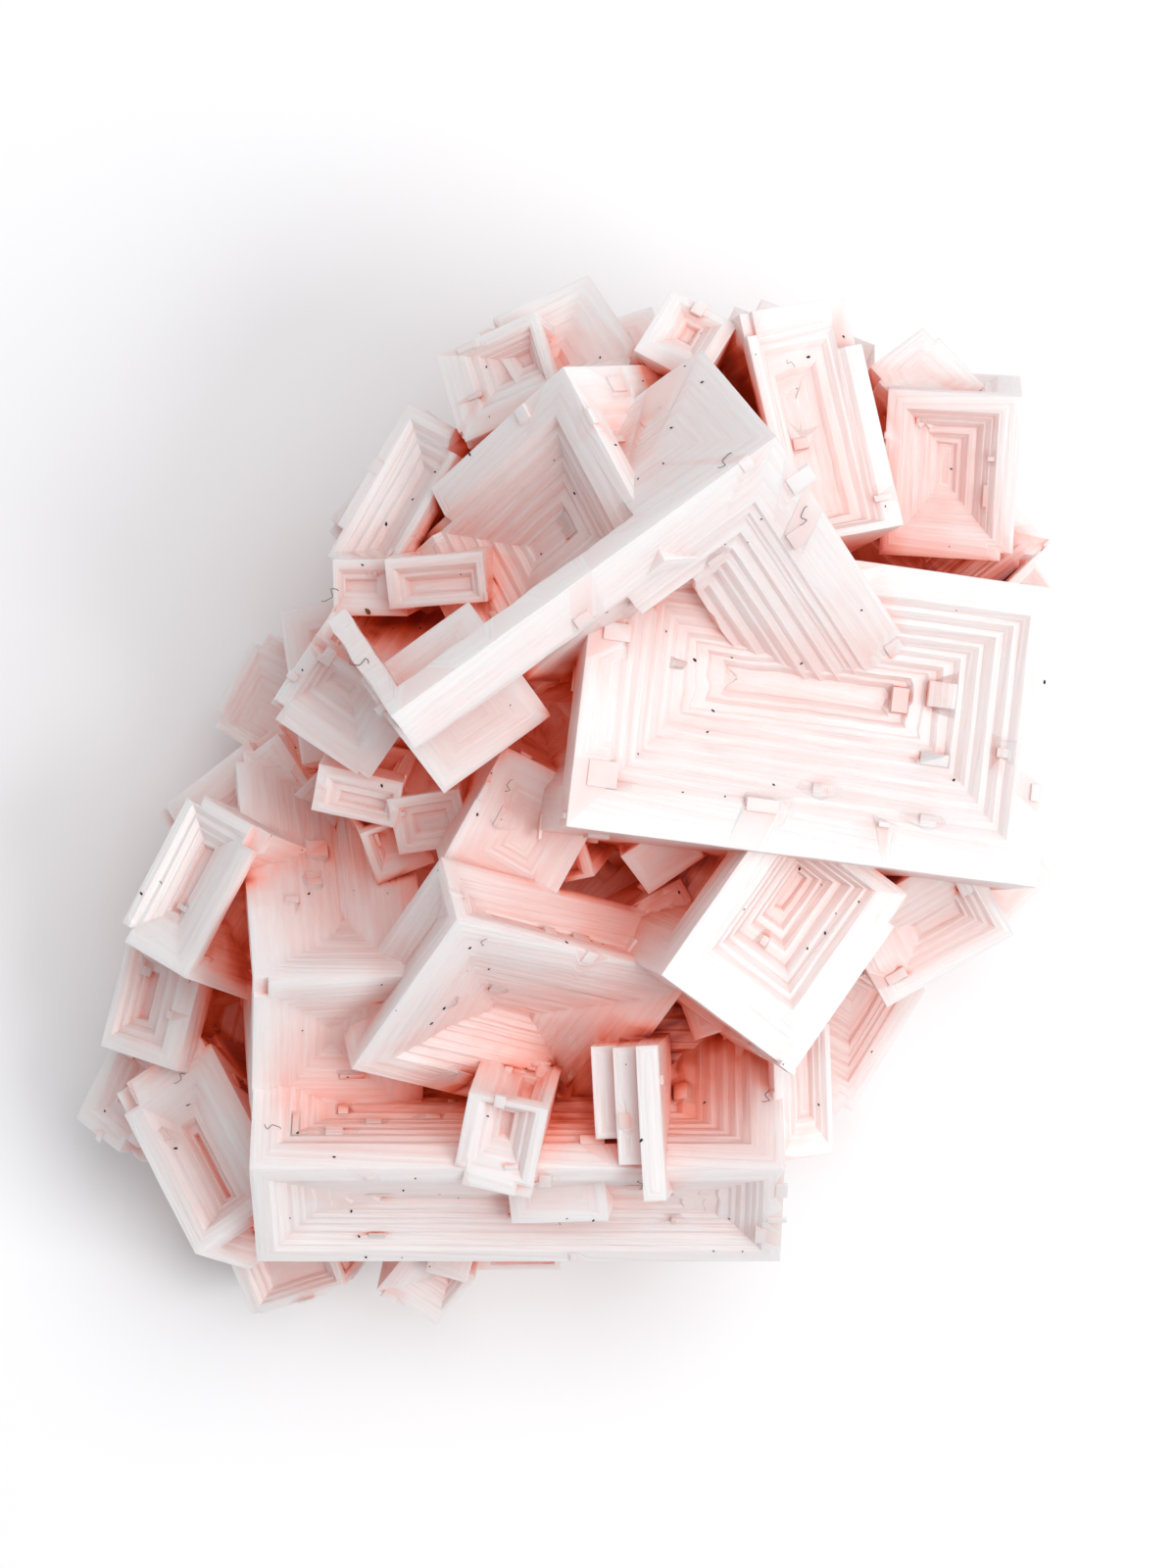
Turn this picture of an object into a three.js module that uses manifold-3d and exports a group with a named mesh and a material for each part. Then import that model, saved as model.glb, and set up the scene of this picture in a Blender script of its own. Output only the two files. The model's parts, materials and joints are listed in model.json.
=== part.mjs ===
// A cluster of intergrown hopper crystals of pink halite (rock salt).
// Millimetres, +Z up. The cluster stands on the flat cut face of its base at z = 0, and the
// origin is the middle of that footprint.
//
// Halite grows as cubes. Here the edges of each cube grew faster than its faces, so every face
// has a raised rim and steps down towards its middle like a square, terraced funnel. Some fifty
// such crystals interpenetrate, so the whole is one solid.
import * as THREE from 'three';
import { mergeVertices } from 'three/addons/utils/BufferGeometryUtils.js';
import Module from 'manifold-3d';

const wasm = await Module();
wasm.setup();

// Driving dimensions of a hopper face. A share is of the shorter side of the face.
const RIM_SHARE = 0.17;
const TREAD_SHARE = 0.1;
const RISER_SHARE = 0.055;
const STEPS_ON_LARGE_FACES = 2;
const STEPS_ON_SMALL_FACES = 1;
const LARGE_FACE = 13;
const SMALLEST_HOPPER_FACE = 3.2;
const BASE_HEIGHT = 0;
const SMALLEST_FEATURE = 0.03;
const HEART = new THREE.Vector3(0, 0, 8);
const LEAST_OUTWARD = 0.35;
const LEAST_UPWARD = 0.4;

// Each crystal is a box: the place of its centre, its three sides, and its stance. The stance is
// the lean of its top face from level, the compass direction it leans towards (counter-clockwise
// from +X), and the turn of its first side, all in degrees. Faces named as plain grew flat and
// glassy; steps sets the number of terraces, and deep makes each riser taller.
const SUMMIT = [
  { name: 'spur behind', at: [1.4, 20, 32.6], size: [21.8, 18, 19], stance: [41, 187, 213], steps: 3 },
  { name: 'broad frontal', at: [15.6, 5.6, 25.6], size: [39, 24, 24], stance: [14, 10, -7], deep: 1.5 },
  { name: 'step under the ridge', at: [-10.4, 6.8, 39.3], size: [10.5, 9.5, 6], stance: [42, 306, 216], steps: 0 },
  { name: 'spur foot', at: [-8.6, 19.5, 29.5], size: [4, 4, 8], stance: [41, 187, 213] },
  { name: 'spur foot second', at: [-4.6, 17.8, 30.5], size: [5, 4, 8], stance: [41, 187, 213] },
  { name: 'left hollow', at: [-18.2, 0.3, 25], size: [7, 4, 8], stance: [20, 250, -12] },
  { name: 'left hollow second', at: [-16.5, -3.5, 22.5], size: [5, 5, 8], stance: [30, 300, 20] },
  { name: 'small pink cube', at: [-5.1, -1.8, 28.2], size: [9, 8, 10], stance: [14, 290, -28], steps: 0 },
  { name: 'star corner', at: [-6, -16.9, 28.5], size: [22, 18, 7], stance: [46, 286, -25] },
  { name: 'tall left', at: [-21.6, -12.3, 18.5], size: [14, 16, 28], stance: [42, 279, -1] },
  { name: 'long front bar', at: [-5.7, -27.4, 20.6], size: [43, 13, 20], stance: [50, 270, 0] },
  { name: 'front pocket cube', at: [-6.5, -27.4, 28.3], size: [6.5, 8, 10], stance: [20, 250, -12] },
  { name: 'front slab', at: [5.6, -26.9, 28], size: [1.8, 12.5, 12], stance: [6, 200, 3], steps: 0 },
  { name: 'second slab', at: [3.8, -25.6, 26.6], size: [2, 9.5, 12], stance: [6, 200, 3], steps: 0 },
  { name: 'third slab', at: [2, -24.6, 25.4], size: [2, 7.5, 12], stance: [6, 200, 3], steps: 0 },
  { name: 'front ledge', at: [-1.8, -31.6, 23.4], size: [8, 4.5, 10], stance: [24, 250, 4], steps: 0 },
  { name: 'scroll', at: [13.7, -11.3, 29.4], size: [17, 14, 14], stance: [20, 340, 54] },
  { name: 'under the scroll', at: [14.5, -12.5, 19], size: [12, 12, 16], stance: [20, 200, 20], steps: 0 },
  { name: 'hole wall', at: [6.4, -12, 23], size: [8, 8, 8], stance: [15, 250, 30], steps: 0 },
  { name: 'hole lump', at: [-1.2, -4.9, 27], size: [4.5, 4, 7], stance: [25, 230, 15] },
  { name: 'hole wedge', at: [5.8, -4.5, 27], size: [5.5, 4, 8], stance: [20, 280, 35], steps: 0 },
];

// The crystals round the rim of the cluster, counter-clockwise from the right.
const RIM_CRYSTALS = [
  { name: 'right notch', at: [34.3, 15.2, 12.6], size: [6, 6, 12], stance: [25, -10, 40] },
  { name: 'right ledge', at: [29.6, 12.6, 24.4], size: [10, 6, 12], stance: [20, 200, -15] },
  { name: 'right upper', at: [29.8, 26.3, 22.2], size: [10.8, 13.5, 14], stance: [12, 250, -3] },
  { name: 'right point', at: [26.2, 30.8, 21.6], size: [7, 7, 12], stance: [25, 60, 40] },
  { name: 'upper right', at: [16.5, 28, 29.4], size: [9.5, 19, 14], stance: [20, 25, 12] },
  { name: 'top small', at: [6.9, 33.1, 30.6], size: [6, 6.5, 12], stance: [25, 70, -30] },
  { name: 'top', at: [-1.5, 31.6, 26.3], size: [10, 10, 14], stance: [35, 100, 28] },
  { name: 'top left', at: [-5, 31.2, 28.6], size: [9, 8, 12], stance: [25, 150, 20] },
  { name: 'upper left', at: [-12.1, 21.3, 25.3], size: [14, 7, 14], stance: [35, 150, 60] },
  { name: 'left block', at: [-16.3, 16.6, 27.2], size: [6, 4.5, 14], stance: [12, 220, 0] },
  { name: 'left inner block', at: [-10.7, 17.3, 30.2], size: [8, 4, 14], stance: [15, 220, 5] },
  { name: 'left point', at: [-17.3, 10.1, 27.7], size: [10, 9, 16], stance: [38, 240, -35] },
  { name: 'low left', at: [-29.6, -9.5, 20.4], size: [13.5, 8, 13], stance: [30, 155, 62] },
  { name: 'low left second', at: [-33, -18, 12.8], size: [11, 8, 12], stance: [30, 170, 75] },
  { name: 'low left third', at: [-36.1, -26.5, 7.9], size: [9, 7, 10], stance: [35, 170, 60] },
  { name: 'front left', at: [-29.9, -30.8, 14.6], size: [16, 9.5, 12], stance: [25, 150, -58] },
  { name: 'front left tip', at: [-24.5, -39.2, 6.3], size: [9, 7, 10], stance: [20, 230, 20] },
  { name: 'front spike', at: [-13.1, -39.3, 10.7], size: [6, 6, 10], stance: [30, 260, -35] },
  { name: 'front fin', at: [-10.2, -35.5, 14.5], size: [3.5, 8, 10], stance: [25, 250, -15] },
  { name: 'front foot', at: [-5.7, -37.2, 12.2], size: [7, 4, 10], stance: [15, 270, 0] },
  { name: 'front right', at: [14.2, -23.2, 18.7], size: [5, 11, 18], stance: [25, 330, 5] },
  { name: 'right lower', at: [26.3, -9.5, 20.4], size: [12, 9, 14], stance: [20, 300, 30] },
  { name: 'right outer', at: [32, -6.6, 16.8], size: [8, 6, 12], stance: [30, 330, 40] },
];

const ALL_FACES = ['+x', '-x', '+y', '-y', '+z', '-z'];

// The crystals of the flanks, under the rim, down to the cut base.
const FLANK_CRYSTALS = [
  { name: 'flank 1', at: [30, 3, 9], size: [12, 13, 13], stance: [20, 20, 15] },
  { name: 'flank 2', at: [29, 20, 10], size: [12, 13, 14], stance: [15, 60, 40] },
  { name: 'flank 3', at: [16, 30, 12], size: [13, 12, 18], stance: [20, 100, 65] },
  { name: 'flank 4', at: [1, 29, 12], size: [13, 13, 18], stance: [18, 80, 20] },
  { name: 'flank 5', at: [-11, 20, 11], size: [13, 12, 18], stance: [25, 130, 50] },
  { name: 'flank 6', at: [-17, 8, 11], size: [12, 13, 17], stance: [15, 150, 10] },
  { name: 'flank 7', at: [-26, -4, 8], size: [13, 12, 14], stance: [20, 170, 35] },
  { name: 'flank 8', at: [-31, -21, 5], size: [12, 12, 11], stance: [15, 200, 20] },
  { name: 'flank 9', at: [-22, -32, 6], size: [13, 12, 13], stance: [20, 230, 55] },
  { name: 'flank 10', at: [-8, -33, 5], size: [12, 10, 12], stance: [15, 260, 10] },
  { name: 'flank 11', at: [7, -29, 8], size: [14, 12, 15], stance: [20, 280, 35] },
  { name: 'flank 12', at: [18, -18, 8], size: [13, 13, 15], stance: [18, 310, 60] },
  { name: 'flank 13', at: [27, -7, 7], size: [13, 11, 13], stance: [25, 335, 25] },
  { name: 'flank 14', at: [-24, 6, 7], size: [9, 10, 12], stance: [20, 160, 60] },
  { name: 'flank 15', at: [8, 32, 5], size: [12, 9, 10], stance: [25, 85, 5] },
  { name: 'heart', at: [-2, -2, 8], size: [50, 32, 18], stance: [6, 90, 45], plain: ALL_FACES },
  { name: 'upper heart', at: [5, 16, 16.5], size: [26, 20, 19], stance: [8, 60, 36], plain: ALL_FACES },
];

// The roof crystal, the largest and highest. Its lower corner never grew, so it is two arms that
// meet at the apex: one along the ridge, one down the right. The arms' steps fall to the opening,
// and behind the ridge its side face is a pit that leaves only a thin rim.
const ROOF = { at: [4.3, 9.5, 33.4], size: [36.6, 34, 14], stance: [42, 306, 216] };
const ROOF_STEPS = [
  { arms: [3.5, 3], drop: 1.2 },
  { arms: [6, 5], drop: 2.6 },
  { arms: [9, 6.5], drop: 4.5 },
  { arms: [12, 7.5], drop: 20 },
];
const ROOF_OPEN = { low: [-2, -12.4, -8], high: [19.3, 18, 8] };
const ROOF_UNDERCUT = { low: [-6, -18, -8], high: [16.5, -11.5, 4.6] };

const degrees = THREE.MathUtils.degToRad;

function solidOf(geometry) {
  geometry.deleteAttribute('normal');
  geometry.deleteAttribute('uv');
  const merged = mergeVertices(geometry, 1e-5);
  const mesh = new wasm.Mesh({
    numProp: 3,
    vertProperties: new Float32Array(merged.attributes.position.array),
    triVerts: new Uint32Array(merged.index.array),
  });
  return new wasm.Manifold(mesh);
}

function stanceMatrix(at, [lean, towards, turn]) {
  const matrix = new THREE.Matrix4().makeRotationZ(degrees(towards));
  matrix.multiply(new THREE.Matrix4().makeRotationY(degrees(lean)));
  matrix.multiply(new THREE.Matrix4().makeRotationZ(degrees(turn - towards)));
  return matrix.setPosition(...at);
}

// A box that fills the space between two opposite corners of a crystal's own axes.
function boxBetween(low, high, placing) {
  const sides = high.map((value, i) => value - low[i]);
  const geometry = new THREE.BoxGeometry(...sides);
  geometry.translate(...low.map((value, i) => value + sides[i] / 2));
  geometry.applyMatrix4(placing);
  return solidOf(geometry);
}

const FACES = [
  { name: '+x', axis: 0, side: 1 },
  { name: '-x', axis: 0, side: -1 },
  { name: '+y', axis: 1, side: 1 },
  { name: '-y', axis: 1, side: -1 },
  { name: '+z', axis: 2, side: 1 },
  { name: '-z', axis: 2, side: -1 },
];

// A side face that looks into the cluster met its neighbours before it could grow a pit.
function looksOut(half, face, placing) {
  const middle = new THREE.Vector3().setComponent(face.axis, face.side * half[face.axis]);
  const normal = new THREE.Vector3().setComponent(face.axis, face.side).transformDirection(placing);
  const outward = middle.applyMatrix4(placing).sub(HEART).normalize();
  return normal.dot(outward) > LEAST_OUTWARD || normal.z > LEAST_UPWARD;
}

// The nested pits of one hopper face, each smaller and deeper than the last.
function pitsOf(crystal, face, placing) {
  const half = crystal.size.map((side) => side / 2);
  const across = [0, 1, 2].filter((axis) => axis !== face.axis);
  const shorter = Math.min(crystal.size[across[0]], crystal.size[across[1]]);
  const isPlain = (crystal.plain ?? []).includes(face.name) || shorter < SMALLEST_HOPPER_FACE;
  if (isPlain || !looksOut(half, face, placing)) {
    return [];
  }
  const usual = shorter >= LARGE_FACE ? STEPS_ON_LARGE_FACES : STEPS_ON_SMALL_FACES;
  const steps = crystal.steps ?? usual;
  const riser = Math.min(shorter * RISER_SHARE * (crystal.deep ?? 1), (half[face.axis] * 0.7) / steps);
  const pits = [];
  for (let step = 0; step < steps; step += 1) {
    const inset = shorter * (RIM_SHARE + step * TREAD_SHARE);
    const low = half.map((value) => inset - value);
    const high = half.map((value) => value - inset);
    const floor = half[face.axis] - riser * (step + 1);
    low[face.axis] = face.side > 0 ? floor : -half[face.axis] - 1;
    high[face.axis] = face.side > 0 ? half[face.axis] + 1 : -floor;
    pits.push(boxBetween(low, high, placing));
  }
  return pits;
}

function hopperCrystal(crystal) {
  const placing = stanceMatrix(crystal.at, crystal.stance);
  const half = crystal.size.map((side) => side / 2);
  const body = boxBetween(half.map((value) => -value), half, placing);
  const pits = FACES.flatMap((face) => pitsOf(crystal, face, placing));
  return pits.reduce((solid, pit) => solid.subtract(pit), body);
}

function roofCrystal() {
  const placing = stanceMatrix(ROOF.at, ROOF.stance);
  const [x, y, z] = ROOF.size.map((side) => side / 2);
  let solid = boxBetween([-x, -y, -z], [x, y, z], placing);
  for (const { arms, drop } of ROOF_STEPS) {
    const pit = boxBetween([arms[0] - x, arms[1] - y, z - drop], [x + 1, y + 1, z + 1], placing);
    solid = solid.subtract(pit);
  }
  solid = solid.subtract(boxBetween(ROOF_OPEN.low, ROOF_OPEN.high, placing));
  return solid.subtract(boxBetween(ROOF_UNDERCUT.low, ROOF_UNDERCUT.high, placing));
}

const crystals = [...SUMMIT, ...RIM_CRYSTALS, ...FLANK_CRYSTALS].map(hopperCrystal);
const joined = crystals.reduce((cluster, crystal) => cluster.add(crystal), roofCrystal());

// The base was broken off its bed and is cut flat.
const belowBase = new THREE.BoxGeometry(200, 200, 60);
belowBase.translate(0, 0, BASE_HEIGHT - 30);
const cut = joined.subtract(solidOf(belowBase));

// Pits that a neighbour closed over as the crystals grew together filled up with salt, so only
// the outermost of the mesh's separate shells is kept: the one with the most triangles.
function outermostShell(triangles, vertexCount) {
  const parent = Array.from({ length: vertexCount }, (_, vertex) => vertex);
  const rootOf = (vertex) => {
    let root = vertex;
    while (parent[root] !== root) {
      parent[root] = parent[parent[root]];
      root = parent[root];
    }
    return root;
  };
  for (let i = 0; i < triangles.length; i += 3) {
    parent[rootOf(triangles[i])] = rootOf(triangles[i + 1]);
    parent[rootOf(triangles[i + 1])] = rootOf(triangles[i + 2]);
  }
  const counts = new Map();
  for (const vertex of triangles) {
    counts.set(rootOf(vertex), (counts.get(rootOf(vertex)) ?? 0) + 1);
  }
  const largest = [...counts].sort((a, b) => b[1] - a[1])[0][0];
  return triangles.filter((_, i) => rootOf(triangles[i - (i % 3)]) === largest);
}

const mesh = cut.simplify(SMALLEST_FEATURE).getMesh();
const geometry = new THREE.BufferGeometry();
geometry.setAttribute('position', new THREE.BufferAttribute(new Float32Array(mesh.vertProperties), 3));
const shell = outermostShell(new Uint32Array(mesh.triVerts), mesh.vertProperties.length / 3);
geometry.setIndex(new THREE.BufferAttribute(shell, 1));
geometry.computeBoundingBox();
const middle = geometry.boundingBox.getCenter(new THREE.Vector3());
geometry.translate(-middle.x, -middle.y, -geometry.boundingBox.min.z);
geometry.computeVertexNormals();

const halite = new THREE.MeshStandardMaterial({
  color: '#f0d6d0',
  roughness: 0.35,
  metalness: 0,
  transparent: true,
  opacity: 0.92,
});

const cluster = new THREE.Mesh(geometry, halite);
cluster.name = 'halite_cluster';

const group = new THREE.Group();
group.add(cluster);

export default group;
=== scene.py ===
import json
import math

import bpy
import numpy as np
from mathutils import Matrix, Vector
from mathutils.bvhtree import BVHTree

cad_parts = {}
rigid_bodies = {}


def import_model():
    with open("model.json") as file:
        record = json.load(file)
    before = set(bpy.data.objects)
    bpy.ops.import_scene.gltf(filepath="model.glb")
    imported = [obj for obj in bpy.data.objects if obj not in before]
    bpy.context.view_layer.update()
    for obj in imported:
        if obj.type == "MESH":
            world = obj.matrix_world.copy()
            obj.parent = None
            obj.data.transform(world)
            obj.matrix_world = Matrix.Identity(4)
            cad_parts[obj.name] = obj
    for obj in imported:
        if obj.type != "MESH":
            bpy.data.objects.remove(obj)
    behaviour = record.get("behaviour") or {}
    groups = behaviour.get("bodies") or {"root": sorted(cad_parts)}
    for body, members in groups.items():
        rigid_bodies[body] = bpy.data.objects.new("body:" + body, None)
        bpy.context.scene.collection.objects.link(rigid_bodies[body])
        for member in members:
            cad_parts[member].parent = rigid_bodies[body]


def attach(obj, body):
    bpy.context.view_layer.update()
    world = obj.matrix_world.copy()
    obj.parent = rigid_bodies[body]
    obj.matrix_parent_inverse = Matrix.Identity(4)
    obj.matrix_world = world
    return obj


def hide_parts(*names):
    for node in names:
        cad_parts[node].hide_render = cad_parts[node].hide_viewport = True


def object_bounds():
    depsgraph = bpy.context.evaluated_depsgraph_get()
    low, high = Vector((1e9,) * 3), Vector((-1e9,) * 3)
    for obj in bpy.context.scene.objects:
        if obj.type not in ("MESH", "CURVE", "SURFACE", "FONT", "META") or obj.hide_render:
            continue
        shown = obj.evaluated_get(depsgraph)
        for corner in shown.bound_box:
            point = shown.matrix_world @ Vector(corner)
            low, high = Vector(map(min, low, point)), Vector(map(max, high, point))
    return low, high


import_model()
cad_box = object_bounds()

# ---------------------------------------------------------------- Camera
# The specimen lies on a table and is seen from straight above, from about 45 cm over the
# table top, with the front of the cluster at the bottom of the view.
MM = 0.001
lens_data = bpy.data.cameras.new("Overhead camera")
lens_data.sensor_fit = "VERTICAL"
lens_data.sensor_height = 24
lens_data.lens = 79.7
lens_data.clip_start = 0.01
camera = bpy.data.objects.new("Overhead camera", lens_data)
camera.location = (1.356 * MM, 2.11 * MM, 450 * MM)
bpy.context.scene.collection.objects.link(camera)
bpy.context.scene.camera = camera


# ---------------------------------------------------------------- One hopper crystal
# Halite grows as cubes. These grew fastest along their edges, so each face is a raised rim
# round a square pit that steps down to the middle in many ledges. One tree makes one face, and
# a second sets six of them round a box and grows small blocks on it, parallel to the crystal.
def add(tree, kind, sockets=(), **settings):
    """Adds a node. Each socket gets a value, an output socket, or a node's first output."""
    made = tree.nodes.new(kind)
    for key, value in settings.items():
        setattr(made, key, value)
    for key, value in dict(sockets).items():
        if isinstance(value, bpy.types.Node):
            value = value.outputs[0]
        if isinstance(value, bpy.types.NodeSocket):
            tree.links.new(value, made.inputs[key])
        else:
            made.inputs[key].default_value = value
    return made


def growth_tree(name, inputs):
    tree = bpy.data.node_groups.new(name, "GeometryNodeTree")
    for label, kind in inputs:
        tree.interface.new_socket(label, in_out="INPUT", socket_type=kind)
    tree.interface.new_socket("Mesh", in_out="OUTPUT", socket_type="NodeSocketGeometry")
    return tree, add(tree, "NodeGroupInput").outputs


FACE_INPUTS = (
    ("Width", "NodeSocketFloat"),
    ("Height", "NodeSocketFloat"),
    ("Room", "NodeSocketFloat"),
    ("Rim", "NodeSocketFloat"),
    ("Tread", "NodeSocketFloat"),
    ("Riser", "NodeSocketFloat"),
    ("Splay", "NodeSocketFloat"),
    ("Aside", "NodeSocketFloat"),
    ("Ragged", "NodeSocketFloat"),
    ("Segment", "NodeSocketFloat"),
    ("Steps", "NodeSocketInt"),
    ("Seed", "NodeSocketInt"),
)
DEEPEST_PIT = 0.32  # of the room behind the face
WIDEST_LEDGE = 0.4  # of the narrower half of what is left of the face
LAST_LEDGE = 0.9
UNEVENNESS = {2: 0.2, 3: 1.8}  # least and most share of the mean ledge
face_tree, given = growth_tree("Hopper face", FACE_INPUTS)
shorter = add(face_tree, "ShaderNodeMath", {0: given["Width"], 1: given["Height"]}, operation="MINIMUM")
full_riser = add(face_tree, "ShaderNodeMath", {0: shorter, 1: given["Riser"]}, operation="MULTIPLY")
full_steps = add(face_tree, "ShaderNodeMath", {0: given["Steps"], 1: 1.0}, operation="MAXIMUM")
deepest = add(face_tree, "ShaderNodeMath", {0: given["Room"], 1: DEEPEST_PIT}, operation="MULTIPLY")
most_riser = add(face_tree, "ShaderNodeMath", {0: deepest, 1: full_steps}, operation="DIVIDE")
mean_riser = add(face_tree, "ShaderNodeMath", {0: full_riser, 1: most_riser}, operation="MINIMUM")
counts = []
for side in ("Width", "Height"):
    pieces = add(face_tree, "ShaderNodeMath", {0: given[side], 1: given["Segment"]}, operation="DIVIDE")
    whole = add(face_tree, "ShaderNodeMath", {0: pieces}, operation="ROUND")
    least = add(face_tree, "ShaderNodeMath", {0: whole, 1: 2.0}, operation="MAXIMUM")
    counts.append(add(face_tree, "ShaderNodeMath", {0: least, 1: 1.0}, operation="ADD"))
sheet = add(
    face_tree,
    "GeometryNodeMeshGrid",
    {"Size X": given["Width"], "Size Y": given["Height"], "Vertices X": counts[0], "Vertices Y": counts[1]},
)
neighbours = add(face_tree, "GeometryNodeInputMeshEdgeNeighbors")
outline = add(face_tree, "FunctionNodeCompare", {2: neighbours, 3: 1}, data_type="INT", operation="EQUAL")
loop = add(face_tree, "GeometryNodeMeshToCurve", {"Mesh": sheet, "Selection": outline})
flat = add(face_tree, "GeometryNodeFillCurve", {"Curve": loop}, mode="NGONS")
marked = add(
    face_tree,
    "GeometryNodeStoreNamedAttribute",
    {"Geometry": flat, "Name": "floor", "Value": True},
    data_type="BOOLEAN",
    domain="FACE",
)
half_x = add(face_tree, "ShaderNodeMath", {0: given["Width"], 1: 0.5}, operation="MULTIPLY")
half_y = add(face_tree, "ShaderNodeMath", {0: given["Height"], 1: 0.5}, operation="MULTIPLY")
begin = face_tree.nodes.new("GeometryNodeRepeatInput")
end = face_tree.nodes.new("GeometryNodeRepeatOutput")
begin.pair_with_output(end)
for kind, label in (("FLOAT", "Half X"), ("FLOAT", "Half Y"), ("FLOAT", "Inset"), ("FLOAT", "Depth")):
    end.repeat_items.new(kind, label)
face_tree.links.new(given["Steps"], begin.inputs["Iterations"])
face_tree.links.new(marked.outputs[0], begin.inputs["Geometry"])
face_tree.links.new(half_x.outputs[0], begin.inputs["Half X"])
face_tree.links.new(half_y.outputs[0], begin.inputs["Half Y"])
turn = begin.outputs["Iteration"]
# The rim is the first and widest ledge. Each later ledge differs a little in width and fall.
is_first = add(face_tree, "FunctionNodeCompare", {2: turn, 3: 0}, data_type="INT", operation="EQUAL")
share = add(
    face_tree,
    "GeometryNodeSwitch",
    {0: is_first, 1: given["Tread"], 2: given["Rim"]},
    input_type="FLOAT",
)
uneven = add(
    face_tree,
    "FunctionNodeRandomValue",
    {**UNEVENNESS, "ID": turn, "Seed": given["Seed"]},
    data_type="FLOAT",
)
rim_even = add(
    face_tree,
    "GeometryNodeSwitch",
    {0: is_first, 1: uneven.outputs[1], 2: 1.0},
    input_type="FLOAT",
)
wide = add(face_tree, "ShaderNodeMath", {0: share, 1: shorter}, operation="MULTIPLY")
wanted_ledge = add(face_tree, "ShaderNodeMath", {0: wide, 1: rim_even}, operation="MULTIPLY")


def narrowed_halves(halves, wanted):
    """What is left of both half widths inside a strip, and the ratios, never past the middle."""
    least = add(face_tree, "ShaderNodeMath", {0: halves[0], 1: halves[1]}, operation="MINIMUM")
    most = add(face_tree, "ShaderNodeMath", {0: least, 1: WIDEST_LEDGE}, operation="MULTIPLY")
    strip = add(face_tree, "ShaderNodeMath", {0: wanted, 1: most}, operation="MINIMUM")
    left = [add(face_tree, "ShaderNodeMath", {0: half, 1: strip}, operation="SUBTRACT") for half in halves]
    ratio = [
        add(face_tree, "ShaderNodeMath", {0: inside, 1: half}, operation="DIVIDE")
        for inside, half in zip(left, halves)
    ]
    return strip, [node.outputs[0] for node in left], ratio


ledge_halves = (begin.outputs["Half X"], begin.outputs["Half Y"])
ledge, ledge_left, ratios = narrowed_halves(ledge_halves, wanted_ledge)
floor = add(face_tree, "GeometryNodeInputNamedAttribute", {"Name": "floor"}, data_type="BOOLEAN")
inset = add(
    face_tree,
    "GeometryNodeExtrudeMesh",
    {"Mesh": begin.outputs["Geometry"], "Selection": floor, "Offset Scale": 0.0, "Individual": False},
    mode="FACES",
)
place = add(face_tree, "GeometryNodeInputPosition")
aside = add(
    face_tree,
    "FunctionNodeRandomValue",
    {0: (-0.55, -0.55, 0.0), 1: (0.55, 0.55, 0.0), "ID": given["Seed"], "Seed": 5},
    data_type="FLOAT_VECTOR",
)
half_size = add(face_tree, "ShaderNodeCombineXYZ", {0: half_x, 1: half_y})
aside_share = add(face_tree, "ShaderNodeVectorMath", {0: aside, "Scale": given["Aside"]}, operation="SCALE")
focus = add(face_tree, "ShaderNodeVectorMath", {0: half_size, 1: aside_share}, operation="MULTIPLY")


def drawn_in(scale):
    """Positions scaled about the spot that the pit of this face closes on."""
    from_focus = add(face_tree, "ShaderNodeVectorMath", {0: place, 1: focus}, operation="SUBTRACT")
    return add(
        face_tree,
        "ShaderNodeVectorMath",
        {0: from_focus, 1: scale, 2: focus},
        operation="MULTIPLY_ADD",
    )


drift = add(face_tree, "ShaderNodeMath", {0: turn, 1: 0.0007}, operation="MULTIPLY")
salt = add(face_tree, "ShaderNodeMath", {0: given["Seed"], 1: 0.0137}, operation="MULTIPLY")
apart = add(face_tree, "ShaderNodeCombineXYZ", {0: salt, 1: salt, 2: drift})
sampled = add(face_tree, "ShaderNodeVectorMath", {0: place, 1: apart}, operation="ADD")
nicks = add(face_tree, "ShaderNodeTexNoise", {"Vector": sampled, "Scale": 380.0, "Detail": 1.5})
squared = add(face_tree, "ShaderNodeMath", {0: nicks, 1: 0.07}, operation="SNAP")
inner = add(face_tree, "ShaderNodeMath", {0: turn, 1: full_steps}, operation="DIVIDE")
broken_part = add(face_tree, "ShaderNodeMapRange", {"Value": inner, 1: 0.45, 2: 1.0, 3: 0.0, 4: 1.0})
raggedness = add(face_tree, "ShaderNodeMath", {0: broken_part, 1: given["Ragged"]}, operation="MULTIPLY")
torn = add(face_tree, "ShaderNodeMath", {0: squared, 1: raggedness}, operation="MULTIPLY")
keep = add(face_tree, "ShaderNodeMath", {0: 1.0, 1: torn}, operation="SUBTRACT")
shrink = [add(face_tree, "ShaderNodeMath", {0: ratio, 1: keep}, operation="MULTIPLY") for ratio in ratios]
scale = add(face_tree, "ShaderNodeCombineXYZ", {0: shrink[0], 1: shrink[1], 2: 1.0})
moved = drawn_in(scale)
narrowed = add(
    face_tree,
    "GeometryNodeSetPosition",
    {"Geometry": inset, "Selection": inset.outputs["Top"], "Position": moved},
)
gone = add(face_tree, "ShaderNodeMath", {0: begin.outputs["Inset"], 1: ledge}, operation="ADD")
inset_mm = add(face_tree, "ShaderNodeMath", {0: gone, 1: 1000.0}, operation="MULTIPLY")
rimmed = add(
    face_tree,
    "GeometryNodeStoreNamedAttribute",
    {"Geometry": narrowed, "Selection": inset.outputs["Top"], "Name": "inset_mm", "Value": inset_mm},
    data_type="FLOAT",
    domain="POINT",
)
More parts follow.
